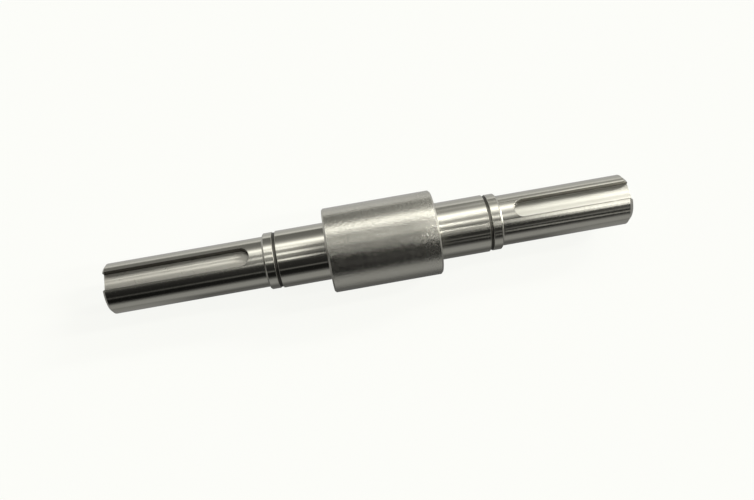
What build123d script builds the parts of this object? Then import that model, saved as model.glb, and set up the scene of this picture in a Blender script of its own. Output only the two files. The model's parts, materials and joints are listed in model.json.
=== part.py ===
from build123d import *
import os

# Stepped drive shaft, turned from one steel bar and milled with two keyways.
# Sizes are in millimetres. The axis lies along X with the middle of the length at zero,
# and both keyways open towards +Z. Left is the end towards -X.

# Bearing seats, and how far the other steps stand above or below them
seat_diameter = 25.0
drum_step = 6.0
collar_relief = 0.2
journal_step = 1.5

# Lengths along the axis
left_journal_length = 68.5
right_journal_length = 57.5
collar_width = 4.2
left_seat_length = 21.3
right_seat_length = 22.0
drum_length = 47.5

# Circlip grooves, between each collar and its bearing seat, with the depth below the collar
groove_width = 1.3
groove_depth = 0.35

# Keyways, open at the end faces and rounded at their inner ends by the end mill
keyway_width = 8.0
keyway_depth = 4.0
keyway_gap = 6.2

# Broken edges, shoulder roots and the corners along the keyway floors
left_end_chamfer = 1.0
right_end_chamfer = 2.0
collar_chamfer = 0.5
drum_chamfer = 0.7
shoulder_radius = 0.4
keyway_edge_break = 0.2
keyway_root_radius = 0.25

# Centre holes that carry the shaft between centres while it is turned and ground
centre_pilot_diameter = 2.5
centre_pilot_length = 2.6
centre_cone_diameter = 5.3
centre_cone_depth = 2.4
centre_tip_length = 0.7

# How far the end mill runs past the end face and above the journal
cutter_overrun = 2.0

# Two measures this close are taken as the same when edges are picked
nearly = 1e-3

# Radii
seat_radius = seat_diameter / 2
drum_radius = seat_radius + drum_step
journal_radius = seat_radius - journal_step
collar_radius = seat_radius - collar_relief
groove_radius = collar_radius - groove_depth
groove_edge_break = groove_depth / 2

# Stations along the axis, from the left end face to the right one
left_side_length = left_journal_length + collar_width + groove_width + left_seat_length
right_side_length = right_seat_length + groove_width + collar_width + right_journal_length
total_length = left_side_length + drum_length + right_side_length
left_end = -total_length / 2
left_shoulder = left_end + left_journal_length
left_groove_start = left_shoulder + collar_width
left_groove_end = left_groove_start + groove_width
drum_start = left_groove_end + left_seat_length
drum_end = drum_start + drum_length
right_groove_start = drum_end + right_seat_length
right_groove_end = right_groove_start + groove_width
right_shoulder = right_groove_end + collar_width
right_end = right_shoulder + right_journal_length

# Half of the turned outline, above the axis
turned_outline = [
    (left_end, 0),
    (left_end, journal_radius),
    (left_shoulder, journal_radius),
    (left_shoulder, collar_radius),
    (left_groove_start, collar_radius),
    (left_groove_start, groove_radius),
    (left_groove_end, groove_radius),
    (left_groove_end, seat_radius),
    (drum_start, seat_radius),
    (drum_start, drum_radius),
    (drum_end, drum_radius),
    (drum_end, seat_radius),
    (right_groove_start, seat_radius),
    (right_groove_start, groove_radius),
    (right_groove_end, groove_radius),
    (right_groove_end, collar_radius),
    (right_shoulder, collar_radius),
    (right_shoulder, journal_radius),
    (right_end, journal_radius),
    (right_end, 0),
]

# Half of the centre drill's outline, standing in the right end face
drill_outline = [
    (right_end, 0),
    (right_end, centre_cone_diameter / 2),
    (right_end - centre_cone_depth, centre_pilot_diameter / 2),
    (right_end - centre_cone_depth - centre_pilot_length, centre_pilot_diameter / 2),
    (right_end - centre_cone_depth - centre_pilot_length - centre_tip_length, 0),
]

keyway_floor = journal_radius - keyway_depth
keyway_edge_height = (journal_radius**2 - (keyway_width / 2) ** 2) ** 0.5
keyway_cut_height = keyway_depth + cutter_overrun
left_keyway_centre = left_shoulder - keyway_gap - keyway_width / 2
right_keyway_centre = right_shoulder + keyway_gap + keyway_width / 2


def rims(part, radius):
    """Circular edges of the part with this radius, from left to right."""
    circles = part.edges().filter_by(GeomType.CIRCLE)
    return circles.filter_by(lambda edge: abs(edge.radius - radius) < nearly).sort_by(Axis.X)


with BuildPart() as stepped_shaft:
    # The turned body, with its seam on the side where the keyways are cut
    with BuildSketch(Plane.XZ):
        with BuildLine():
            Polyline(*turned_outline, close=True)
        make_face()
    revolve(axis=Axis.X)

    # Broken outer edges of the drum, the collars, the grooves and the end faces
    chamfer(rims(stepped_shaft, drum_radius), drum_chamfer)
    collar_rims = rims(stepped_shaft, collar_radius)
    chamfer([collar_rims[0], collar_rims[-1]], collar_chamfer)
    collar_rims = rims(stepped_shaft, collar_radius)
    seat_rims = rims(stepped_shaft, seat_radius)
    chamfer(collar_rims[1:3] + [seat_rims[0], seat_rims[-1]], groove_edge_break)
    chamfer(rims(stepped_shaft, journal_radius)[0], left_end_chamfer)
    chamfer(rims(stepped_shaft, journal_radius)[-1], right_end_chamfer)

    # Small radii where the journals meet the collars and the seats meet the drum
    journal_rims = rims(stepped_shaft, journal_radius)
    seat_rims = rims(stepped_shaft, seat_radius)
    fillet(journal_rims[1:3] + seat_rims[1:3], shoulder_radius)

    # Centre holes, one in each end face
    with BuildSketch(Plane.XZ):
        with BuildLine():
            Polyline(*drill_outline, close=True)
        make_face()
        mirror(about=Plane.YZ)
    revolve(axis=Axis.X, mode=Mode.SUBTRACT)

    # Keyways: a straight cut in from each end face, rounded where the end mill stops
    with BuildSketch(Plane.XY.offset(keyway_floor)):
        with Locations((left_keyway_centre, 0), (right_keyway_centre, 0)):
            Circle(keyway_width / 2)
        with Locations((left_keyway_centre, 0)):
            left_run = left_keyway_centre - left_end + cutter_overrun
            Rectangle(left_run, keyway_width, align=(Align.MAX, Align.CENTER))
        with Locations((right_keyway_centre, 0)):
            right_run = right_end - right_keyway_centre + cutter_overrun
            Rectangle(right_run, keyway_width, align=(Align.MIN, Align.CENTER))
    extrude(amount=keyway_cut_height, mode=Mode.SUBTRACT)

    # Broken outer edges of the keyways, and small radii along their floors
    keyway_edges = stepped_shaft.edges(Select.LAST)
    outer_edges = keyway_edges.filter_by_position(Axis.Z, keyway_edge_height - nearly, journal_radius + nearly)
    floor_edges = keyway_edges.filter_by_position(Axis.Z, keyway_floor - nearly, keyway_floor + nearly)
    chamfer(outer_edges, keyway_edge_break)
    fillet(floor_edges.filter_by(Axis.Y, reverse=True), keyway_root_radius)

stepped_shaft.part.label = "stepped_shaft"
os.makedirs("parts", exist_ok=True)
export_step(stepped_shaft.part, "parts/stepped_shaft.step")
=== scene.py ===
import json
import logging
import math
from dataclasses import dataclass, field
from enum import Enum
from typing import Callable

import bmesh
import bpy
from mathutils import Matrix, Vector


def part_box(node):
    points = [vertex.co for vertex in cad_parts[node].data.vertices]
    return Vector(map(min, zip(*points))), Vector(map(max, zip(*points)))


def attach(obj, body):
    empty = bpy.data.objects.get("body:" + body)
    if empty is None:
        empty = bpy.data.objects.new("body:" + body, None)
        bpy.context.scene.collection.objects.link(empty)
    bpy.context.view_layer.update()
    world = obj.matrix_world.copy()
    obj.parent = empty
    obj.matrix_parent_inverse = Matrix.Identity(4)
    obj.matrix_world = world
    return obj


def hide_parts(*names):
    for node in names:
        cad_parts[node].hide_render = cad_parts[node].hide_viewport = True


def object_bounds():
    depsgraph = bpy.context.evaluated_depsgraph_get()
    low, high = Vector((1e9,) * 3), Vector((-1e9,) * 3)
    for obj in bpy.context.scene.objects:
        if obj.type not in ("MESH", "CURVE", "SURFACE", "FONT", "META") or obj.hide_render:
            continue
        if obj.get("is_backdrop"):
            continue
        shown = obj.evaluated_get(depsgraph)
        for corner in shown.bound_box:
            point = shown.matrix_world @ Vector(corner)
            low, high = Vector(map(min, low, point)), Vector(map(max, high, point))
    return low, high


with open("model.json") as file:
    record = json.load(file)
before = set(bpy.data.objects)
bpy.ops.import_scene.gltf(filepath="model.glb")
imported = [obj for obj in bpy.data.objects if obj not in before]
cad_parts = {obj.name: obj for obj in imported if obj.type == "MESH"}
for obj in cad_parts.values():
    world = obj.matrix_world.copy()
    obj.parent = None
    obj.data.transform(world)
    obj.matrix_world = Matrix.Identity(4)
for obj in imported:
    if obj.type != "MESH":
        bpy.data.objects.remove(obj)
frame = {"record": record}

# Looks of a stepped drive shaft, turned, ground and milled from one steel bar.
# Sizes in the classes are millimetres, as on a turner's drawing, and become metres where a mesh
# or a material is made. The axis lies along X and both keyways open towards +Z, as in the packed
# part.

log = logging.getLogger("stepped_shaft")

MM = 0.001
MICRON = MM / 1000
NODE = "stepped_shaft"
BODY = "root"

# Two places this close are taken as the same when a mesh is worked on
NEARLY = 0.01 * MM

# How far round the end mill's circle its arcs are followed, as a sine
MILL_LEAN_LIMIT = 0.98

Colour = tuple[float, float, float]
Tree = bpy.types.NodeTree
Socket = bpy.types.NodeSocket
Sockets = bpy.types.bpy_prop_collection


# Working on a mesh


def take_up(piece: bpy.types.Object) -> None:
    """Makes a piece the active one and the only one that is selected.

    Args:
        piece: The piece.
    """
    bpy.ops.object.select_all(action="DESELECT")
    bpy.context.view_layer.objects.active = piece
    piece.select_set(True)


def settle(name: str) -> bpy.types.Object:
    """Names the primitive that was just added, and brings its object to the origin.

    Args:
        name: The object's name.

    Returns:
        The object.
    """
    piece = bpy.context.active_object
    piece.name = name
    bpy.ops.object.transform_apply(location=True, rotation=True, scale=True)
    return piece


class Bench:
    """Edit mode on one object, opened and left with everything deselected."""

    def __init__(self, piece: bpy.types.Object) -> None:
        """Takes the piece that is worked on.

        Args:
            piece: A mesh object, which becomes the active one.
        """
        self.piece = piece

    def __enter__(self) -> "Bench":
        """Deselects all else and goes into edit mode.

        Returns:
            The bench itself.
        """
        take_up(self.piece)
        bpy.ops.object.mode_set(mode="EDIT")
        bpy.ops.mesh.select_all(action="DESELECT")
        return self

    def __exit__(self, *_: object) -> None:
        """Goes back to object mode."""
        bpy.ops.object.mode_set(mode="OBJECT")
        bpy.ops.object.select_all(action="DESELECT")

    def pick(self, elements: str, wanted: Callable[[object], bool]) -> int:
        """Selects what passes a test, and nothing else.

        Args:
            elements: verts, edges or faces.
            wanted: The test for one such element.

        Returns:
            How many were selected.
        """
        mode = {"verts": "VERT", "edges": "EDGE", "faces": "FACE"}[elements]
        bpy.ops.mesh.select_mode(type=mode)
        bpy.ops.mesh.select_all(action="DESELECT")
        mesh = bmesh.from_edit_mesh(self.piece.data)
        chosen = [e for e in getattr(mesh, elements) if wanted(e)]
        for element in chosen:
            element.select_set(True)
        mesh.select_flush_mode()
        bmesh.update_edit_mesh(self.piece.data)
        return len(chosen)

    def close_up(self) -> None:
        """Merges doubled vertices, and then points all faces outwards."""
        bpy.ops.mesh.select_all(action="SELECT")
        bpy.ops.mesh.remove_doubles(threshold=NEARLY / 10)
        bpy.ops.mesh.select_all(action="SELECT")
        bpy.ops.mesh.normals_make_consistent(inside=False)


def single_vertex(name: str, place: Vector) -> bpy.types.Object:
    """Starts a piece as one vertex, from which an outline is extruded.

    Args:
        name: The object's name.
        place: Where the vertex lies, in metres.

    Returns:
        The new object, at the origin.
    """
    bpy.ops.object.select_all(action="DESELECT")
    bpy.ops.mesh.primitive_plane_add(size=MM, location=place)
    piece = settle(name)
    with Bench(piece):
        bpy.ops.mesh.select_all(action="SELECT")
        bpy.ops.mesh.merge(type="CENTER")
    return piece


# The shaft


class CornerForm(Enum):
    """What the turner makes of a corner of the outline."""

    SHARP = "sharp"
    CHAMFER = "chamfer"
    ROOT = "root radius"


@dataclass(frozen=True)
class Corner:
    """A corner of the turned outline, in millimetres."""

    along: float
    radius: float
    form: CornerForm = CornerForm.SHARP
    size: float = 0.0

    def place(self) -> Vector:
        """Where the corner lies in the row frame, above the axis, in metres."""
        return Vector((self.along, 0, self.radius)) * MM


@dataclass(frozen=True)
class CentreHole:
    """The 60 degree hole in each end face that carries the shaft between centres."""

    mouth_diameter: float = 5.3
    pilot_diameter: float = 2.5
    cone_depth: float = 2.4
    pilot_length: float = 2.6
    tip_length: float = 0.7

    def corners(self, end: float, inwards: float) -> list[Corner]:
        """The hole's outline, from its tip on the axis to its mouth.

        Args:
            end: Place of the end face along the axis.
            inwards: 1 where the shaft lies towards +X of the end face, otherwise -1.

        Returns:
            The four corners, tip first.
        """
        pilot_radius = self.pilot_diameter / 2
        pilot_end = end + inwards * (self.cone_depth + self.pilot_length)
        return [
            Corner(pilot_end + inwards * self.tip_length, 0),
            Corner(pilot_end, pilot_radius),
            Corner(end + inwards * self.cone_depth, pilot_radius),
            Corner(end, self.mouth_diameter / 2),
        ]


@dataclass
class TurnedBody:
    """The turned body: journals, collars, circlip grooves, bearing seats and drum."""

    left_end: float
    right_end: float
    journal_radius: float
    seat_radius: float
    drum_radius: float
    drum_middle: float
    left_groove_middle: float
    right_groove_middle: float
    drum_length: float = 47.5
    collar_width: float = 4.2
    collar_relief: float = 0.2
    groove_width: float = 1.3
    groove_depth: float = 0.35
    left_end_chamfer: float = 1.0
    right_end_chamfer: float = 2.0
    collar_chamfer: float = 0.5
    drum_chamfer: float = 0.7
    shoulder_radius: float = 0.4
    centre_hole: CentreHole = field(default_factory=CentreHole)
    root_segments: int = 5
    turns: int = 512

    def __post_init__(self) -> None:
        """Works out the stations along the axis and the lesser radii."""
        self.collar_radius = self.seat_radius - self.collar_relief
        self.groove_radius = self.collar_radius - self.groove_depth
        self.groove_edge_break = self.groove_depth / 2
        self.drum_start = self.drum_middle - self.drum_length / 2
        self.drum_end = self.drum_middle + self.drum_length / 2
        self.left_groove_start = self.left_groove_middle - self.groove_width / 2
        self.left_groove_end = self.left_groove_middle + self.groove_width / 2
        self.right_groove_start = self.right_groove_middle - self.groove_width / 2
        self.right_groove_end = self.right_groove_middle + self.groove_width / 2
        self.left_shoulder = self.left_groove_start - self.collar_width
        self.right_shoulder = self.right_groove_end + self.collar_width

    def side(self, shoulder: float, outer: float, inner: float, drum_face: float) -> list[Corner]:
        """Corners from a journal's root to the top of the drum, on either side.

        Args:
            shoulder: Place of the collar's face next to the journal.
            outer: Place of the groove's wall next to the collar.
            inner: Place of the groove's wall next to the bearing seat.
            drum_face: Place of the drum's face.

        Returns:
            The corners, journal first.
        """
        chamfer, root = CornerForm.CHAMFER, CornerForm.ROOT
        return [
            Corner(shoulder, self.journal_radius, root, self.shoulder_radius),
            Corner(shoulder, self.collar_radius, chamfer, self.collar_chamfer),
            Corner(outer, self.collar_radius, chamfer, self.groove_edge_break),
            Corner(outer, self.groove_radius),
            Corner(inner, self.groove_radius),
            Corner(inner, self.seat_radius, chamfer, self.groove_edge_break),
            Corner(drum_face, self.seat_radius, root, self.shoulder_radius),
            Corner(drum_face, self.drum_radius, chamfer, self.drum_chamfer),
        ]

    def outline(self) -> list[Corner]:
        """Gives half of the shaft's section.

        Returns:
            The corners, from the tip of the left centre hole to the tip of the right one.
        """
        chamfer, radius = CornerForm.CHAMFER, self.journal_radius
        left = self.centre_hole.corners(self.left_end, 1)
        left.append(Corner(self.left_end, radius, chamfer, self.left_end_chamfer))
        left += self.side(
            self.left_shoulder, self.left_groove_start, self.left_groove_end, self.drum_start
        )
        right = self.centre_hole.corners(self.right_end, -1)
        right.append(Corner(self.right_end, radius, chamfer, self.right_end_chamfer))
        right += self.side(
            self.right_shoulder, self.right_groove_end, self.right_groove_start, self.drum_end
        )
        return left + right[::-1]

    def draw_outline(self, name: str) -> bpy.types.Object:
        """Draws the outline as a chain of edges and breaks its corners.

        Args:
            name: The object's name.

        Returns:
            The outline as an object.
        """
        corners = self.outline()
        piece = single_vertex(name, corners[0].place())
        with Bench(piece) as bench:
            bpy.ops.mesh.select_all(action="SELECT")
            for last, corner in zip(corners, corners[1:]):
                step = corner.place() - last.place()
                bpy.ops.mesh.extrude_vertices_move(TRANSFORM_OT_translate={"value": step})
            for corner in corners:
                if corner.form is CornerForm.SHARP:
                    continue
                place = corner.place()
                bench.pick("verts", lambda v: (v.co - place).length < NEARLY)
                bpy.ops.mesh.bevel(
                    offset=corner.size * MM,
                    segments=self.root_segments if corner.form is CornerForm.ROOT else 1,
                    affect="VERTICES",
                    clamp_overlap=False,
                )
        return piece

    def build(self, name: str) -> bpy.types.Object:
        """Spins the outline round the axis into the closed body.

        Args:
            name: The object's name.

        Returns:
            The turned body, its faces pointing outwards.
        """
        piece = self.draw_outline(name)
        with Bench(piece) as bench:
            bpy.ops.mesh.select_all(action="SELECT")
            bpy.ops.mesh.spin(steps=self.turns, angle=math.tau, center=(0, 0, 0), axis=(1, 0, 0))
            bench.close_up()
        return piece


@dataclass
class Keyway:
    """A keyway, cut in from an end face and rounded where the end mill stops.

    A face counts as facing one way when that part of its normal is above facing, and as square
    to it when that part is below square_to.
    """

    name: str
    end: float
    shoulder: float
    floor: float
    journal_radius: float
    width: float = 8.0
    gap: float = 6.2
    root_radius: float = 0.25
    edge_break: float = 0.2
    overrun: float = 2.0
    mill_sides: int = 128
    root_segments: int = 3
    square_to: float = 0.02
    facing: float = 0.9

    def __post_init__(self) -> None:
        """Works out where the end mill stops, and which way is out of the end face."""
        self.outwards = math.copysign(1, self.end - self.shoulder)
        self.centre = self.shoulder + self.outwards * (self.gap + self.width / 2)
        self.lip_height = math.sqrt(self.journal_radius**2 - (self.width / 2) ** 2)

    def cutter(self) -> bpy.types.Object:
        """Makes the body that the end mill sweeps.

        Returns:
            A half cylinder drawn out past the end face, with its floor corners rounded.
        """
        height = (self.journal_radius - self.floor + self.overrun) * MM
        middle = Vector((self.centre * MM, 0, self.floor * MM + height / 2))
        run = (abs(self.end - self.centre) + self.overrun) * MM
        bpy.ops.object.select_all(action="DESELECT")
        bpy.ops.mesh.primitive_cylinder_add(
            vertices=self.mill_sides, radius=self.width / 2 * MM, depth=height, location=middle
        )
        piece = settle(f"{self.name}_cutter")
        stop, floor = self.centre * MM, self.floor * MM
        with Bench(piece) as bench:
            bpy.ops.mesh.select_all(action="SELECT")
            bpy.ops.mesh.bisect(
                plane_co=(stop, 0, 0),
                plane_no=(self.outwards, 0, 0),
                clear_outer=True,
                threshold=NEARLY,
            )
            bench.pick("edges", lambda e: e.is_boundary)
            way_out = {"value": (self.outwards * run, 0, 0)}
            bpy.ops.mesh.extrude_edges_move(TRANSFORM_OT_translate=way_out)
            bench.pick("edges", lambda e: e.is_boundary)
            bpy.ops.mesh.edge_face_add()
            bench.pick(
                "edges",
                lambda e: all(abs(v.co.x - stop) < NEARLY for v in e.verts)
                and abs(e.verts[0].co.z - e.verts[1].co.z) < NEARLY,
            )
            bpy.ops.mesh.dissolve_edges(use_verts=False)
            bpy.ops.mesh.select_all(action="SELECT")
            bpy.ops.mesh.normals_make_consistent(inside=False)
            mouth = stop + self.outwards * run
            bench.pick(
                "edges",
                lambda e: all(abs(v.co.z - floor) < NEARLY for v in e.verts)
                and not all(abs(v.co.x - mouth) < NEARLY for v in e.verts),
            )
            bpy.ops.mesh.bevel(
                offset=self.root_radius * MM, segments=self.root_segments, affect="EDGES"
            )
        return piece

    def is_lip(self, edge: bmesh.types.BMEdge) -> bool:
        """Tells whether an edge is where the keyway's wall meets the round of the journal.

        Args:
            edge: An edge of the cut body.

        Returns:
            True for an edge of the lip.
        """
        if len(edge.link_faces) != 2:
            return False
        low, high = sorted(face.normal.z for face in edge.link_faces)
        middle = (edge.verts[0].co + edge.verts[1].co) / 2
        on_side = (middle.x - self.shoulder * MM) * self.outwards > 0
        round_face = max(edge.link_faces, key=lambda face: face.normal.z)
        return (
            on_side
            and abs(low) < self.square_to
            and high > self.facing
            and abs(round_face.normal.x) < self.square_to
            and middle.z > self.lip_height * MM - NEARLY
        )

    def cut(self, body: bpy.types.Object) -> None:
        """Cuts the keyway into the turned body and breaks its outer edges.

        Args:
            body: The turned body, which is changed.
        """
        cutter = self.cutter()
        modifier = body.modifiers.new(self.name, "BOOLEAN")
        modifier.operation = "DIFFERENCE"
        modifier.solver = "EXACT"
        modifier.object = cutter
        take_up(body)
        bpy.ops.object.modifier_apply(modifier=modifier.name)
        bpy.data.objects.remove(cutter)
        with Bench(body) as bench:
            count = bench.pick("edges", self.is_lip)
            bpy.ops.mesh.bevel(
                offset=self.edge_break * MM, segments=1, affect="EDGES", clamp_overlap=False
            )
            bench.close_up()
        log.info("%s: broke %d lip edges", self.name, count)


# Finishes


class NodeBoard:
    """Lays and links shader nodes in one tree."""

    def __init__(self, tree: Tree) -> None:
        """Takes the tree and empties it.

        Args:
            tree: A material's, a world's or a group's node tree.
        """
        self.tree = tree
        tree.nodes.clear()

    def add(self, kind: str, inputs: dict | None = None, **settings: object) -> bpy.types.Node:
        """Adds a node.

        Args:
            kind: The node's type, as in ShaderNodeMath.
            inputs: Socket names or numbers, with a value or another node's output for each.
            settings: The node's own settings.

        Returns:
            The new node.
        """
        node = self.tree.nodes.new(kind)
        for name, value in settings.items():
            setattr(node, name, value)
        for name, value in (inputs or {}).items():
            if isinstance(value, Socket):
                self.tree.links.new(value, node.inputs[name])
            else:
                node.inputs[name].default_value = value
        return node

    def math(self, operation: str, *values: object, clamp: bool = False) -> Socket:
        """Adds a Math node.

        Args:
            operation: Blender's name of the operation.
            values: Numbers or outputs, in the order of the sockets.
            clamp: Whether the result is kept from 0 to 1.

        Returns:
            Its output.
        """
        inputs = dict(enumerate(values))
        node = self.add("ShaderNodeMath", inputs, operation=operation, use_clamp=clamp)
        return node.outputs[0]

    def stretch(self, vector: Socket, along: Socket, across: Socket) -> Socket:
        """Scales a vector.

        Args:
            vector: The vector.
            along: The factor along X.
            across: The factor along Y and Z.

        Returns:
            The scaled vector.
        """
        scale = self.add("ShaderNodeCombineXYZ", {"X": along, "Y": across, "Z": across}).outputs[0]
        inputs = {0: vector, 1: scale}
        return self.add("ShaderNodeVectorMath", inputs, operation="MULTIPLY").outputs[0]

    def noise(
        self, vector: Socket, detail: float, roughness: float, scale: float = 1.0
    ) -> Socket:
        """Adds a noise texture.

        Args:
            vector: Where it is read.
            detail: How many finer layers it has.
            roughness: How strong each layer is, against the coarser one before it.
            scale: How many of its swells there are to a unit.

        Returns:
            Its value, which swings round a half.
        """
        inputs = {"Vector": vector, "Scale": scale, "Detail": detail, "Roughness": roughness}
        return self.add("ShaderNodeTexNoise", inputs).outputs["Fac"]

    def spread(
        self,
        value: Socket,
        given: tuple[object, object],
        result: tuple[object, object] = (0, 1),
        eased: bool = True,
    ) -> Socket:
        """Maps one range onto another and holds it at its ends.

        Args:
            value: What is mapped.
            given: The range's start and end, as numbers or outputs.
            result: What they become, as numbers or outputs.
            eased: Whether the result leaves both ends slowly.

        Returns:
            The mapped value.
        """
        inputs = {
            "Value": value,
            "From Min": given[0],
            "From Max": given[1],
            "To Min": result[0],
            "To Max": result[1],
        }
        kind = "SMOOTHSTEP" if eased else "LINEAR"
        return self.add("ShaderNodeMapRange", inputs, interpolation_type=kind).outputs[0]

    def ramp(self, factor: Socket, stops: list[tuple[float, float]]) -> Socket:
        """Adds a colour ramp of greys.

        Args:
            factor: What the ramp reads.
            stops: Positions from 0 to 1 with their grey.

        Returns:
            The ramp's colour.
        """
        node = self.add("ShaderNodeValToRGB", {"Fac": factor})
        elements = node.color_ramp.elements
        elements.remove(elements[1])
        for number, (position, grey) in enumerate(stops):
            element = elements[0] if number == 0 else elements.new(position)
            element.position = position
            element.color = (grey, grey, grey, 1)
        return node.outputs["Color"]


class EffectGroup:
    """A shader node group for one effect, with a vector as its first input."""

    def __init__(self, name: str, inputs: tuple[str, ...], *outputs: str) -> None:
        """Starts the group.

        Args:
            name: The group's name.
            inputs: Names of the numbers that it takes after the vector.
            outputs: Names of the numbers that it puts out.
        """
        self.tree = bpy.data.node_groups.new(name, "ShaderNodeTree")
        interface = self.tree.interface
        interface.new_socket("Vector", in_out="INPUT", socket_type="NodeSocketVector")
        for label in inputs:
            interface.new_socket(label, in_out="INPUT", socket_type="NodeSocketFloat")
        for label in outputs:
            interface.new_socket(label, in_out="OUTPUT", socket_type="NodeSocketFloat")
        self.board = NodeBoard(self.tree)
        self.given = self.board.add("NodeGroupInput").outputs

    def finish(self, **results: Socket) -> Tree:
        """Puts out the results.

        Args:
            results: What each output gives.

        Returns:
            The finished group.
        """
        self.board.add("NodeGroupOutput", results)
        return self.tree

    def finish_noise(self, noise: Socket) -> Tree:
        """Puts out a noise as a mask, and what it swings round a half as a height.

        Args:
            noise: The noise.

        Returns:
            The finished group.
        """
        swing = self.board.math("SUBTRACT", noise, 0.5)
        height = self.board.math("MULTIPLY", swing, self.given["Depth"])
        return self.finish(Height=height, Mask=noise)


def mill_lean(board: NodeBoard, aside: Socket, radius: float | Socket) -> Socket:
    """Works out how far round the end mill's circle a place lies.

    Args:
        board: The nodes of the material or group.
        aside: The place's distance from the keyway's middle line, by its Y.
        radius: The end mill's radius.

    Returns:
        The sine of the angle, kept a little off the circle's ends.
    """
    lean = board.math("DIVIDE", aside, radius)
    return board.math("MINIMUM", board.math("MAXIMUM", lean, -MILL_LEAN_LIMIT), MILL_LEAN_LIMIT)


def cosine(board: NodeBoard, sine: Socket) -> Socket:
    """Gives the cosine that belongs to a sine, taken as positive."""
    return board.math("SQRT", board.math("SUBTRACT", 1, board.math("MULTIPLY", sine, sine)))


@dataclass
class SteelEffects:
    """Effects that the steel's finishes share, each one node group.

    Rings break ring_breaks times as often round the axis as they repeat along it, and scratches
    are scratch_slenderness times as long as wide.
    """

    ring_breaks: float = 0.012
    scratch_slenderness: float = 9.0
    scratch_sharpness: float = 22.0
    scratch_turns: tuple[float, ...] = (25, 75, -50)
    arc_drift: float = 0.4

    def __post_init__(self) -> None:
        """Builds the groups once."""
        self.rings = self.build_rings()
        self.mottle = self.build_mottle()
        self.scratches = self.build_scratches()
        self.arcs = self.build_arcs()
        self.clouds = self.build_clouds()
        self.wear = self.build_wear()

    def build_rings(self) -> Tree:
        """Makes the fine marks round the axis, left by turning and grinding.

        Returns:
            The group.
        """
        group = EffectGroup("turning_rings", ("Spacing", "Depth"), "Height", "Mask")
        board = group.board
        rate = board.math("DIVIDE", 1, group.given["Spacing"])
        slow = board.math("MULTIPLY", rate, self.ring_breaks)
        place = board.stretch(group.given["Vector"], rate, slow)
        return group.finish_noise(board.noise(place, detail=3, roughness=0.6))

    def build_mottle(self) -> Tree:
        """Makes the cloudy, slightly uneven face of bare steel.

        Returns:
            The group.
        """
        group = EffectGroup("steel_mottle", ("Size", "Depth"), "Height", "Mask")
        board = group.board
        rate = board.math("DIVIDE", 1, group.given["Size"])
        place = board.stretch(group.given["Vector"], rate, rate)
        return group.finish_noise(board.noise(place, detail=4, roughness=0.65))

    def build_scratches(self) -> Tree:
        """Makes short handling scratches that cross in three directions.

        Returns:
            The group.
        """
        group = EffectGroup("handling_scratches", ("Length", "Depth"), "Height", "Mask")
        board = group.board
        rate = board.math("DIVIDE", 1, group.given["Length"])
        across = board.math("MULTIPLY", rate, self.scratch_slenderness)
        lines = []
        for turn in self.scratch_turns:
            turned = board.add(
                "ShaderNodeVectorRotate",
                {"Vector": group.given["Vector"], "Angle": math.radians(turn)},
                rotation_type="Z_AXIS",
            )
            place = board.stretch(turned.outputs[0], rate, across)
            noise = board.noise(place, detail=1, roughness=0.5)
            ridge = board.math("ABSOLUTE", board.math("SUBTRACT", noise, 0.5))
            slope = board.math("MULTIPLY", ridge, self.scratch_sharpness)
            lines.append(board.math("SUBTRACT", 1, slope, clamp=True))
        mask = lines[0]
        for line in lines[1:]:
            mask = board.math("MAXIMUM", mask, line)
        downwards = board.math("MULTIPLY", mask, -1)
        height = board.math("MULTIPLY", downwards, group.given["Depth"])
        return group.finish(Height=height, Mask=mask)

    def build_arcs(self) -> Tree:
        """Makes the arcs of the end mill across a keyway's floor, bulging towards its open end.

        Returns:
            The group.
        """
        group = EffectGroup("milling_arcs", ("Spacing", "Depth", "Radius"), "Height", "Mask")
        board = group.board
        place = board.add("ShaderNodeSeparateXYZ", {0: group.given["Vector"]}).outputs
        lean = mill_lean(board, place["Y"], group.given["Radius"])
        bulge = board.math("MULTIPLY", cosine(board, lean), group.given["Radius"])
        travel = board.math("SUBTRACT", board.math("ABSOLUTE", place["X"]), bulge)
        turns = board.math("DIVIDE", travel, group.given["Spacing"])
        drift = board.math("MULTIPLY", lean, self.arc_drift)
        line = board.add("ShaderNodeCombineXYZ", {"X": turns, "Y": drift}).outputs[0]
        return group.finish_noise(board.noise(line, detail=2, roughness=0.6))

    def build_clouds(self) -> Tree:
        """Makes the clouds in which the steel is faintly stained.

        Returns:
            The group.
        """
        group = EffectGroup("stain_clouds", ("Size",), "Mask")
        rate = group.board.math("DIVIDE", 1, group.given["Size"])
        place = group.board.stretch(group.given["Vector"], rate, rate)
        return group.finish(Mask=group.board.noise(place, detail=3, roughness=0.55))

    def build_wear(self) -> Tree:
        """Makes the wear that grows from one station on the axis to another.

        Returns:
            The group.
        """
        group = EffectGroup("wear_along", ("From", "To", "Amount"), "Roughness")
        given = group.given
        along = group.board.add("ShaderNodeSeparateXYZ", {0: given["Vector"]}).outputs["X"]
        worn = group.board.spread(along, (given["From"], given["To"]), (0, given["Amount"]))
        return group.finish(Roughness=worn)


class SteelBoard(NodeBoard):
    """The nodes of a steel finish, with object coordinates and the shared effects at hand."""

    def __init__(self, tree: Tree, effects: SteelEffects) -> None:
        """Takes the tree and empties it.

        Args:
            tree: The material's node tree.
            effects: The effects that all finishes share.
        """
        super().__init__(tree)
        self.effects = effects
        self.place = self.add("ShaderNodeTexCoord").outputs["Object"]

    def effect(self, group: Tree, **inputs: float) -> Sockets:
        """Places a shared effect.

        Args:
            group: Its group.
            inputs: What it takes beside the object coordinates.

        Returns:
            Its outputs.
        """
        given = {"Vector": self.place, **inputs}
        return self.add("ShaderNodeGroup", given, node_tree=group).outputs


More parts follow.
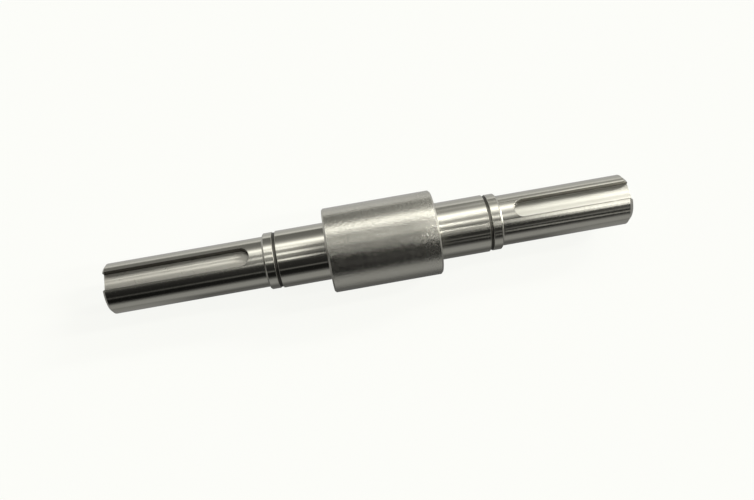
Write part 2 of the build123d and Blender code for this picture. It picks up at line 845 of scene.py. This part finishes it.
@dataclass(frozen=True)
class SteelFinish:
    """How one zone of the bare steel looks, with sizes in millimetres and depths in microns."""

    name: str
    colour: Colour = (0.62, 0.61, 0.545)
    roughness: float = 0.3
    roughness_play: float = 0.08
    anisotropy: float = 0.8
    marks_turn: float = 0.25
    ring_spacing: float = 0.6
    ring_depth: float = 0.4
    mottle_size: float = 0.9
    mottle_depth: float = 1.0
    mottle_play: float = 0.0
    scratch_length: float = 6.0
    scratch_depth: float = 0.5
    scratch_haze: float = 0.02
    cloud_size: float = 9.0
    stain: float = 0.08
    stain_tint: Colour = (1.0, 1.15, 1.5)
    wear: float = 0.0
    wear_from: float = 0.0
    wear_to: float = 1.0

    def material(self, effects: SteelEffects) -> bpy.types.Material:
        """Makes the finish as a material.

        Args:
            effects: The effects that all finishes share.

        Returns:
            The material.
        """
        made = bpy.data.materials.new(self.name)
        made.use_nodes = True
        board = SteelBoard(made.node_tree, effects)
        marks = self.marks(board)
        size, length = self.mottle_size * MM, self.scratch_length * MM
        mottle = board.effect(effects.mottle, Size=size, Depth=self.mottle_depth)
        scratches = board.effect(effects.scratches, Length=length, Depth=self.scratch_depth)
        height = board.math("ADD", marks["Height"], mottle["Height"])
        height = board.math("ADD", height, scratches["Height"])
        bump = board.add("ShaderNodeBump", {"Height": height, "Distance": MICRON, "Strength": 1})
        masks = (marks["Mask"], mottle["Mask"], scratches["Mask"])
        steel = board.add(
            "ShaderNodeBsdfPrincipled",
            {
                "Base Color": self.tone(board),
                "Metallic": 1.0,
                "Roughness": self.gloss(board, *masks),
                "Anisotropic": self.anisotropy,
                "Anisotropic Rotation": self.marks_turn,
                "Tangent": self.direction(board),
                "Normal": bump.outputs[0],
            },
        )
        board.add("ShaderNodeOutputMaterial", {"Surface": steel.outputs[0]})
        return made

    def tone(self, board: SteelBoard) -> Socket:
        """Clouds the colour with a faint warm stain.

        Args:
            board: The material's nodes.

        Returns:
            The colour.
        """
        clouds = board.effect(board.effects.clouds, Size=self.cloud_size * MM)["Mask"]
        darker = tuple(c * (1 - self.stain * k) for c, k in zip(self.colour, self.stain_tint))
        inputs = {"Factor": clouds, "A": (*darker, 1), "B": (*self.colour, 1)}
        return board.add("ShaderNodeMix", inputs, data_type="RGBA").outputs["Result"]

    def gloss(
        self, board: SteelBoard, marks: Socket, mottle: Socket, scratches: Socket
    ) -> Socket:
        """Varies the roughness with the marks, and with wear towards one end.

        Args:
            board: The material's nodes.
            marks: The mask of the tool's marks.
            mottle: The mask of the mottle.
            scratches: The mask of the scratches.

        Returns:
            The roughness.
        """
        roughness = board.math("MULTIPLY_ADD", scratches, self.scratch_haze, self.roughness)
        for mask, play in ((marks, self.roughness_play), (mottle, self.mottle_play)):
            if play:
                swing = board.math("SUBTRACT", mask, 0.5)
                roughness = board.math("MULTIPLY_ADD", swing, play, roughness)
        if self.wear:
            reach = {"From": self.wear_from * MM, "To": self.wear_to * MM}
            worn = board.effect(board.effects.wear, Amount=self.wear, **reach)["Roughness"]
            roughness = board.math("ADD", roughness, worn)
        return roughness

    def marks(self, board: SteelBoard) -> Sockets:
        """Lays the tool's marks, here rings round the axis.

        Args:
            board: The material's nodes.

        Returns:
            The marks' outputs.
        """
        spacing = self.ring_spacing * MM
        return board.effect(board.effects.rings, Spacing=spacing, Depth=self.ring_depth)

    def direction(self, board: SteelBoard) -> Socket:
        """Gives the direction in which the tool's marks run, here round the axis.

        Args:
            board: The material's nodes.

        Returns:
            A vector along the marks.
        """
        return board.add("ShaderNodeTangent", direction_type="RADIAL", axis="X").outputs[0]


@dataclass(frozen=True)
class EndMilledFinish(SteelFinish):
    """A keyway's floor, on which the end mill leaves arcs."""

    ring_spacing: float = 0.35
    ring_depth: float = 1.0
    mill_radius: float = 4.0

    def marks(self, board: SteelBoard) -> Sockets:
        """Lays the end mill's arcs.

        Args:
            board: The material's nodes.

        Returns:
            The arcs' outputs.
        """
        sizes = {"Spacing": self.ring_spacing * MM, "Radius": self.mill_radius * MM}
        return board.effect(board.effects.arcs, Depth=self.ring_depth, **sizes)

    def direction(self, board: SteelBoard) -> Socket:
        """Gives the direction in which the arcs run.

        Args:
            board: The material's nodes.

        Returns:
            A vector along the arcs.
        """
        parts = board.add("ShaderNodeSeparateXYZ", {0: board.place}).outputs
        lean = mill_lean(board, parts["Y"], self.mill_radius * MM)
        across = board.math("MULTIPLY", cosine(board, lean), board.math("SIGN", parts["X"]))
        back = board.math("MULTIPLY", lean, -1)
        return board.add("ShaderNodeCombineXYZ", {"X": back, "Y": across}).outputs[0]


class Zone(Enum):
    """The parts of the surface that are finished in one way, with that finish."""

    JOURNAL = SteelFinish(
        "ground_journals", roughness=0.14, roughness_play=0.02, anisotropy=0.5,
        ring_depth=0.1, mottle_depth=10, mottle_play=0.1, scratch_depth=0.2,
    )
    LEFT_SEAT = SteelFinish(
        "left_seat", roughness=0.105, roughness_play=0.02, anisotropy=0.5,
        mottle_depth=0.5, scratch_depth=0.2,
    )
    RIGHT_SEAT = SteelFinish(
        "right_seat", roughness=0.16, roughness_play=0.03, anisotropy=1.0,
        mottle_depth=0.5, scratch_depth=0.2, wear=0.045, wear_from=47, wear_to=29,
    )
    DRUM = SteelFinish(
        "ground_drum", roughness=0.158, roughness_play=0.03, anisotropy=0.85,
        mottle_size=1.1, mottle_depth=105, mottle_play=0.38, scratch_depth=8,
        wear=0.08, wear_from=18, wear_to=26,
    )
    # Painted shade: the grooves' colour is nearly black to stand in for the shade inside the narrow
    # recess.
    GROOVE = SteelFinish("circlip_grooves", (0.1, 0.097, 0.085), 0.5, anisotropy=0.5)
    FACED = SteelFinish("faced_shoulders", roughness=0.34, anisotropy=0.6)
    BROKEN_EDGE = SteelFinish("broken_edges", roughness=0.3, anisotropy=0.4)
    # Painted shade: the keyway floors' colour is darker than the steel elsewhere, to stand in for
    # the shade in the recesses, and differs between the left and the right keyway.
    LEFT_FLOOR = EndMilledFinish("left_milled_floor", (0.45, 0.44, 0.395), 0.285, anisotropy=1.0)
    RIGHT_FLOOR = EndMilledFinish("right_milled_floor", (0.39, 0.385, 0.345), 0.33)
    # Painted shade: the keyway walls' colour is darkened to stand in for the shade inside the
    # keyways.
    MILLED_WALL = SteelFinish("milled_walls", (0.3, 0.29, 0.26), 0.2, anisotropy=0.6)
    DRILLED = SteelFinish("drilled_centres", roughness=0.4, anisotropy=0.4)


@dataclass
class Shaft:
    """The whole shaft: the turned body with its two keyways, dressed zone by zone.

    Zones end within near of a border. The fields from facing to sloping are parts of a face's
    normal, and a groove's faces lie further in than collar_cover from a collar's outer side.
    """

    body: TurnedBody
    keyways: list[Keyway]
    smooth_angle: float = 32.0
    near: float = 0.03
    facing: float = 0.9
    upright: float = 0.2
    end_on: float = 0.99
    sloping: float = 0.05
    collar_cover: float = 1.0

    @classmethod
    def from_frame(cls) -> "Shaft":
        """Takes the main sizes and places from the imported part.

        Returns:
            The shaft, not yet built.
        """
        lowest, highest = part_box(NODE)
        mounts = {mount["name"]: mount for mount in frame["record"]["mounts"]}

        def along(name: str) -> float:
            """A mount's place along the axis, in millimetres."""
            return mounts[name]["pos_m"][0] / MM

        body = TurnedBody(
            left_end=lowest.x / MM,
            right_end=highest.x / MM,
            journal_radius=mounts["left_journal"]["dims"]["r_mm"],
            seat_radius=mounts["left_bearing_seat"]["dims"]["r_mm"],
            drum_radius=mounts["drum"]["dims"]["r_mm"],
            drum_middle=along("drum"),
            left_groove_middle=along("left_circlip_groove"),
            right_groove_middle=along("right_circlip_groove"),
        )
        keyways = [
            Keyway(
                f"{side}_keyway",
                end=end,
                shoulder=shoulder,
                floor=mounts[f"{side}_keyway_floor"]["pos_m"][2] / MM,
                journal_radius=body.journal_radius,
            )
            for side, end, shoulder in (
                ("left", body.left_end, body.left_shoulder),
                ("right", body.right_end, body.right_shoulder),
            )
        ]
        return cls(body, keyways)

    def zone(self, face: bmesh.types.BMFace) -> Zone:
        """Names the finish of one face by its place and direction.

        Args:
            face: A face of the finished mesh.

        Returns:
            Its zone.
        """
        body, near = self.body, self.near
        centre, normal = face.calc_center_median() / MM, face.normal
        radius = math.hypot(centre.y, centre.z)
        on_left = centre.x < body.drum_middle
        from_end = min(centre.x - body.left_end, body.right_end - centre.x)
        if radius < body.centre_hole.mouth_diameter / 2 and from_end > near:
            return Zone.DRILLED
        if from_end < near:
            return Zone.FACED
        for keyway in self.keyways:
            inside = abs(centre.y) < keyway.width / 2 + near and centre.z > keyway.floor - near
            on_side = (centre.x - keyway.shoulder) * keyway.outwards > 0
            cut = inside and on_side and radius < body.journal_radius - near
            if cut and normal.z > self.facing and centre.z < keyway.floor + near:
                return Zone.LEFT_FLOOR if on_left else Zone.RIGHT_FLOOR
            in_corner = centre.z < keyway.floor + keyway.root_radius + near
            if cut and (abs(normal.z) < self.upright or in_corner):
                return Zone.MILLED_WALL
        past_left = centre.x > body.left_shoulder + self.collar_cover
        past_right = centre.x < body.right_shoulder - self.collar_cover
        below_collar = radius < body.groove_radius + body.groove_edge_break - near
        if below_collar and past_left and past_right:
            return Zone.GROOVE
        if abs(normal.x) > self.end_on:
            return Zone.FACED
        if abs(normal.x) > self.sloping:
            return Zone.BROKEN_EDGE
        if radius > body.seat_radius + near:
            return Zone.DRUM
        if radius > body.journal_radius + near:
            return Zone.LEFT_SEAT if on_left else Zone.RIGHT_SEAT
        return Zone.JOURNAL

    def dress(self, piece: bpy.types.Object) -> None:
        """Gives each face the finish of its zone.

        Args:
            piece: The finished mesh.
        """
        effects = SteelEffects()
        zones = list(Zone)
        for zone in zones:
            piece.data.materials.append(zone.value.material(effects))
        with Bench(piece) as bench:
            for number, zone in enumerate(zones):
                count = bench.pick("faces", lambda face: self.zone(face) is zone)
                piece.active_material_index = number
                bpy.ops.object.material_slot_assign()
                log.info("%s: %d faces", zone.value.name, count)

    def build(self) -> bpy.types.Object:
        """Builds and dresses the shaft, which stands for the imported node.

        Returns:
            The shaft.
        """
        piece = self.body.build("ground_shaft")
        for keyway in self.keyways:
            keyway.cut(piece)
        self.dress(piece)
        take_up(piece)
        bpy.ops.object.shade_smooth_by_angle(angle=math.radians(self.smooth_angle))
        # Small faces along the roots would tilt the shading of the long ones beside them
        even = piece.modifiers.new("even_normals", "WEIGHTED_NORMAL")
        even.mode = "FACE_AREA"
        even.keep_sharp = True
        bpy.ops.object.modifier_apply(modifier=even.name)
        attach(piece, BODY)
        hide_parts(NODE)
        return piece


# Studio


@dataclass(frozen=True)
class Panel:
    """A lit panel far off, by its place round the shaft's axis and its lean towards +X, in degrees.

    The place round the axis is counted from the front, -Y, over the top. White has a brightness
    of 1, and a brightness below 0 makes a black flag, which takes light away. A panel with a
    slant moves on round the axis by that many degrees for each degree of lean.
    """

    name: str
    around: tuple[float, float]
    lean: tuple[float, float]
    brightness: float
    edge: float = 1.5
    slant: float = 0.0

    def light(self, board: NodeBoard, around: Socket, lean: Socket) -> Socket:
        """Lays the nodes that light the panel.

        Args:
            board: The world's nodes.
            around: The place round the axis of the direction that is looked in.
            lean: Its lean.

        Returns:
            The panel's brightness in that direction.
        """
        total = self.brightness
        if self.slant:
            shift = board.math("MULTIPLY", board.math("SUBTRACT", lean, self.lean[0]), self.slant)
            around = board.math("SUBTRACT", around, shift)
        for value, (low, high) in ((around, self.around), (lean, self.lean)):
            for border, reach in ((low, self.edge), (high, -self.edge)):
                fade = board.spread(value, (border - reach, border + reach))
                total = board.math("MULTIPLY", fade, total)
        total.node.label = self.name
        return total


@dataclass(frozen=True)
class Floor:
    """The pale floor, which steel sees with painted light, brighter behind the shaft, and a painted
    shadow just in front of it.
    """

    size: float = 6.0
    paper: Colour = (0.955, 0.96, 0.925)
    lit_colour: Colour = (0.05, 0.05, 0.048)
    own_light: float = 0.94
    # Where the painted shadow that steel sees is lifted to clear_brightness: far from the drum
    # along X, close to the shaft along Y.
    clear_of_drum: tuple[float, float] = (0.05, 0.11)
    clear_reach: tuple[float, float] = (0.05, 0.03)
    clear_brightness: float = 0.3
    seen_from: float = -0.3
    seen_to: float = 1.0
    # Greys that steel sees on the floor across Y: painted light, brighter behind the shaft, and a
    # painted shadow of the shaft just in front of it.
    painted_light_and_shadow_in_steel: tuple[tuple[float, float], ...] = (
        (-0.3, 0.1), (-0.2, 0.18), (-0.14, 0.28), (-0.09, 0.35), (-0.045, 0.37),
        (-0.032, 0.2), (-0.025, 0.12), (-0.02, 0.14), (-0.015, 0.16), (0.0, 0.2),
        (0.04, 0.55), (0.1, 0.58), (0.2, 0.72), (0.4, 0.84), (1.0, 0.84),
    )

    def material(self) -> bpy.types.Material:
        """Makes the floor's material, which steel sees otherwise than the camera does.

        Returns:
            The material.
        """
        made = bpy.data.materials.new("pale_floor")
        made.use_nodes = True
        board = NodeBoard(made.node_tree)
        place = board.add("ShaderNodeTexCoord").outputs["Object"]
        parts = board.add("ShaderNodeSeparateXYZ", {0: place}).outputs
        # To glossy rays the floor glows with painted light and a painted shadow of the shaft, read
        # from a ramp over Y.
        reach = board.spread(parts["Y"], (self.seen_from, self.seen_to), eased=False)
        span = self.seen_to - self.seen_from
        stops = [((y - self.seen_from) / span, grey) for y, grey in self.painted_light_and_shadow_in_steel]
        # Past the drum along the axis the painted shadow is lifted to clear_brightness, so that it
        # stays darkest near the drum.
        clear = self.clear_brightness
        for side, border in (("X", self.clear_of_drum), ("Y", self.clear_reach)):
            fade = board.spread(board.math("ABSOLUTE", parts[side]), border)
            clear = board.math("MULTIPLY", fade, clear)
        mirrored = board.math("MAXIMUM", board.ramp(reach, stops), clear)
        rays = board.add("ShaderNodeLightPath").outputs
        lit = board.add("ShaderNodeBsdfDiffuse", {"Color": (*self.lit_colour, 1)})
        own = board.math("MULTIPLY", rays["Is Camera Ray"], self.own_light)
        glow = board.add("ShaderNodeEmission", {"Color": (*self.paper, 1), "Strength": own})
        shown = board.add("ShaderNodeAddShader", {0: lit.outputs[0], 1: glow.outputs[0]})
        seen = board.add("ShaderNodeEmission", {"Strength": mirrored})
        shaders = {0: rays["Is Glossy Ray"], 1: shown.outputs[0], 2: seen.outputs[0]}
        both = board.add("ShaderNodeMixShader", shaders)
        board.add("ShaderNodeOutputMaterial", {"Surface": both.outputs[0]})
        return made

    def lay(self, height: float) -> bpy.types.Object:
        """Lays the floor under the shaft.

        Args:
            height: Where its surface lies, in metres.

        Returns:
            The floor.
        """
        bpy.ops.object.select_all(action="DESELECT")
        bpy.ops.mesh.primitive_plane_add(size=self.size, location=(0, 0, height))
        floor = settle("floor")
        floor.data.materials.append(self.material())
        floor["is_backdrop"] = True
        return floor


@dataclass(frozen=True)
class Studio:
    """Floor and surroundings: grey walls in soft bands along the shaft, and lit panels."""

    floor: Floor = field(default_factory=Floor)
    light_colour: Colour = (1.0, 0.995, 0.97)
    band_range: float = 2.0
    bands: tuple[tuple[float, float], ...] = (
        (-90, 0.30), (-8, 0.07), (0, 0.03), (8, 0.012), (21, 0.012), (25, 0.18),
        (29, 0.02), (45, 0.03), (60, 0.05), (72, 0.1), (82, 0.3), (95, 0.34),
        (103, 0.45), (110, 0.75), (117, 1.35), (124, 2.0), (129, 1.5), (133, 0.85),
        (138, 0.5), (145, 0.3), (152, 0.22), (160, 0.2), (173, 0.18), (177, 0.42),
        (181, 0.95), (270, 0.95),
    )
    left_wall: tuple[float, float] = (-16, -8)
    left_wall_share: float = 0.6
    right_rise: tuple[float, float] = (0, 30)
    right_gain: float = 1.3
    panels: tuple[Panel, ...] = (
        Panel("front_strip", (62.5, 67), (42, 60), 90),
        Panel("top_strip", (90, 95), (42, 60), 130),
        Panel("back_strip", (119.5, 125.5), (42, 60), 70),
        Panel("back_window", (120, 130), (32, 60), 12),
        Panel("right_card_top", (52, 65), (14, 24), 1.9, edge=2.5),
        Panel("right_card", (42.5, 54), (17.5, 23.5), 1.9, edge=2.5),
        Panel("right_near_card", (74, 85.5), (3.5, 15), 0.8, edge=2.5, slant=1.1),
        Panel("right_near_wall", (62, 112), (10, 15), 0.25, edge=4),
        Panel("right_front_line", (12, 18), (11, 24), 0.4, edge=1.5, slant=-0.7),
        Panel("right_window", (129, 141), (8, 25), 0.7, edge=4),
        Panel("right_wall", (142, 172), (6, 30), 0.25, edge=4),
        Panel("right_ledge", (155, 164), (14, 30), 0.8, edge=2.5),
        Panel("right_low_wall", (20, 44), (19, 24), 0.14, edge=4),
        Panel("left_front_strip", (61, 67.5), (-6.3, -3.9), 2.1, edge=1),
        Panel("left_top_strip", (84, 92.5), (-7, -4), 1.7, edge=1),
        Panel("left_back_strip", (105, 113), (-7.1, -4), 1.1, edge=1),
        Panel("left_seat_wall", (55, 118), (-7.8, -3.9), 0.2, edge=2),
        Panel("left_seat_flag", (57, 115), (-3.7, -2.3), -0.7, edge=0.6),
        Panel("left_card", (83, 94), (-14, -7.5), 0.15, edge=2),
        Panel("left_front_wall", (58, 80), (-22, -6.5), 0.12, edge=6),
        Panel("left_flag", (97, 122), (-30, -12), -0.6, edge=3),
        Panel("left_wall", (150, 175), (-40, -10), 0.1, edge=4),
    )

    def brightness(self, board: NodeBoard) -> Socket:
        """Adds up the walls' bands and the panels.

        Args:
            board: The world's nodes.

        Returns:
            The brightness in each direction.
        """
        way = board.add("ShaderNodeTexCoord").outputs["Generated"]
        parts = board.add("ShaderNodeSeparateXYZ", {0: way}).outputs
        forwards = board.math("MULTIPLY", parts["Y"], -1)
        around = board.math("DEGREES", board.math("ARCTAN2", parts["Z"], forwards))
        lean = board.math("DEGREES", board.math("ARCSINE", parts["X"]))
        turn = board.math("DIVIDE", board.math("ADD", around, 90), 360)
        turn = board.math("FRACT", board.math("ADD", turn, 1))
        stops = [((angle + 90) / 360, grey / self.band_range) for angle, grey in self.bands]
        band = board.math("MULTIPLY", board.ramp(turn, stops), self.band_range)
        left = board.spread(lean, self.left_wall, (self.left_wall_share, 1))
        right = board.spread(lean, self.right_rise, (1, self.right_gain), eased=False)
        total = board.math("MULTIPLY", band, board.math("MULTIPLY", left, right))
        for panel in self.panels:
            total = board.math("ADD", total, panel.light(board, around, lean))
        return board.math("MAXIMUM", total, 0)

    def surround(self) -> None:
        """Sets the world: white to the camera, and the bands and panels to all else."""
        world = bpy.data.worlds.new("studio")
        bpy.context.scene.world = world
        world.use_nodes = True
        board = NodeBoard(world.node_tree)
        by_camera = board.add("ShaderNodeLightPath").outputs["Is Camera Ray"]
        colours = {"Factor": by_camera, "A": (*self.light_colour, 1), "B": (*self.floor.paper, 1)}
        tint = board.add("ShaderNodeMix", colours, data_type="RGBA").outputs["Result"]
        levels = {"Factor": by_camera, "A": self.brightness(board), "B": 1.0}
        level = board.add("ShaderNodeMix", levels, data_type="FLOAT").outputs["Result"]
        light = board.add("ShaderNodeBackground", {"Color": tint, "Strength": level})
        board.add("ShaderNodeOutputWorld", {"Surface": light.outputs[0]})

    def build(self, floor_height: float) -> None:
        """Builds the whole studio.

        Args:
            floor_height: Where the floor's surface lies, in metres.
        """
        self.floor.lay(floor_height)
        self.surround()
        bpy.context.scene.view_settings.view_transform = "Standard"


@dataclass(frozen=True)
class CameraRig:
    """The camera, which looks down on the shaft as in the photograph, turned in the frame."""

    elevation: float = 69.1
    distance: float = 322.7
    along: float = -6.48
    rise: float = -3.35
    yaw: float = 1.577
    roll: float = -9.978
    focal_pixels: float = 740.0
    image_width: float = 754.0
    sensor_width: float = 36.0
    clip: tuple[float, float] = (0.01, 20)

    def build(self) -> bpy.types.Object:
        """Makes the camera and sets it as the scene's own.

        Returns:
            The camera.
        """
        data = bpy.data.cameras.new("camera")
        data.sensor_width = self.sensor_width
        data.lens = self.sensor_width * self.focal_pixels / self.image_width
        data.clip_start, data.clip_end = self.clip
        camera = bpy.data.objects.new("camera", data)
        bpy.context.scene.collection.objects.link(camera)
        level = Matrix.Rotation(math.pi / 2, 4, "X")
        yawed = Matrix.Rotation(-math.radians(self.yaw), 4, "Z") @ level
        rolled = yawed @ Matrix.Rotation(math.radians(self.roll), 4, "Z")
        stand = Matrix.Translation(Vector((self.along, -self.distance, self.rise)) * MM)
        tilt = Matrix.Rotation(-math.radians(self.elevation), 4, "X")
        camera.matrix_world = tilt @ stand @ rolled
        bpy.context.scene.camera = camera
        return camera


def main() -> None:
    """Builds the shaft, the studio and the camera, and reports each."""
    logging.basicConfig(level=logging.INFO, format="%(name)s: %(message)s")
    cad_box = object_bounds()
    piece = Shaft.from_frame().build()
    mesh = piece.data
    log.info("%s: %d vertices, %d faces", piece.name, len(mesh.vertices), len(mesh.polygons))
    Studio().build(cad_box[0].z)
    camera = CameraRig().build()
    log.info("camera stands at %s", tuple(round(c, 4) for c in camera.matrix_world.translation))


if __name__ == "__main__":
    main()
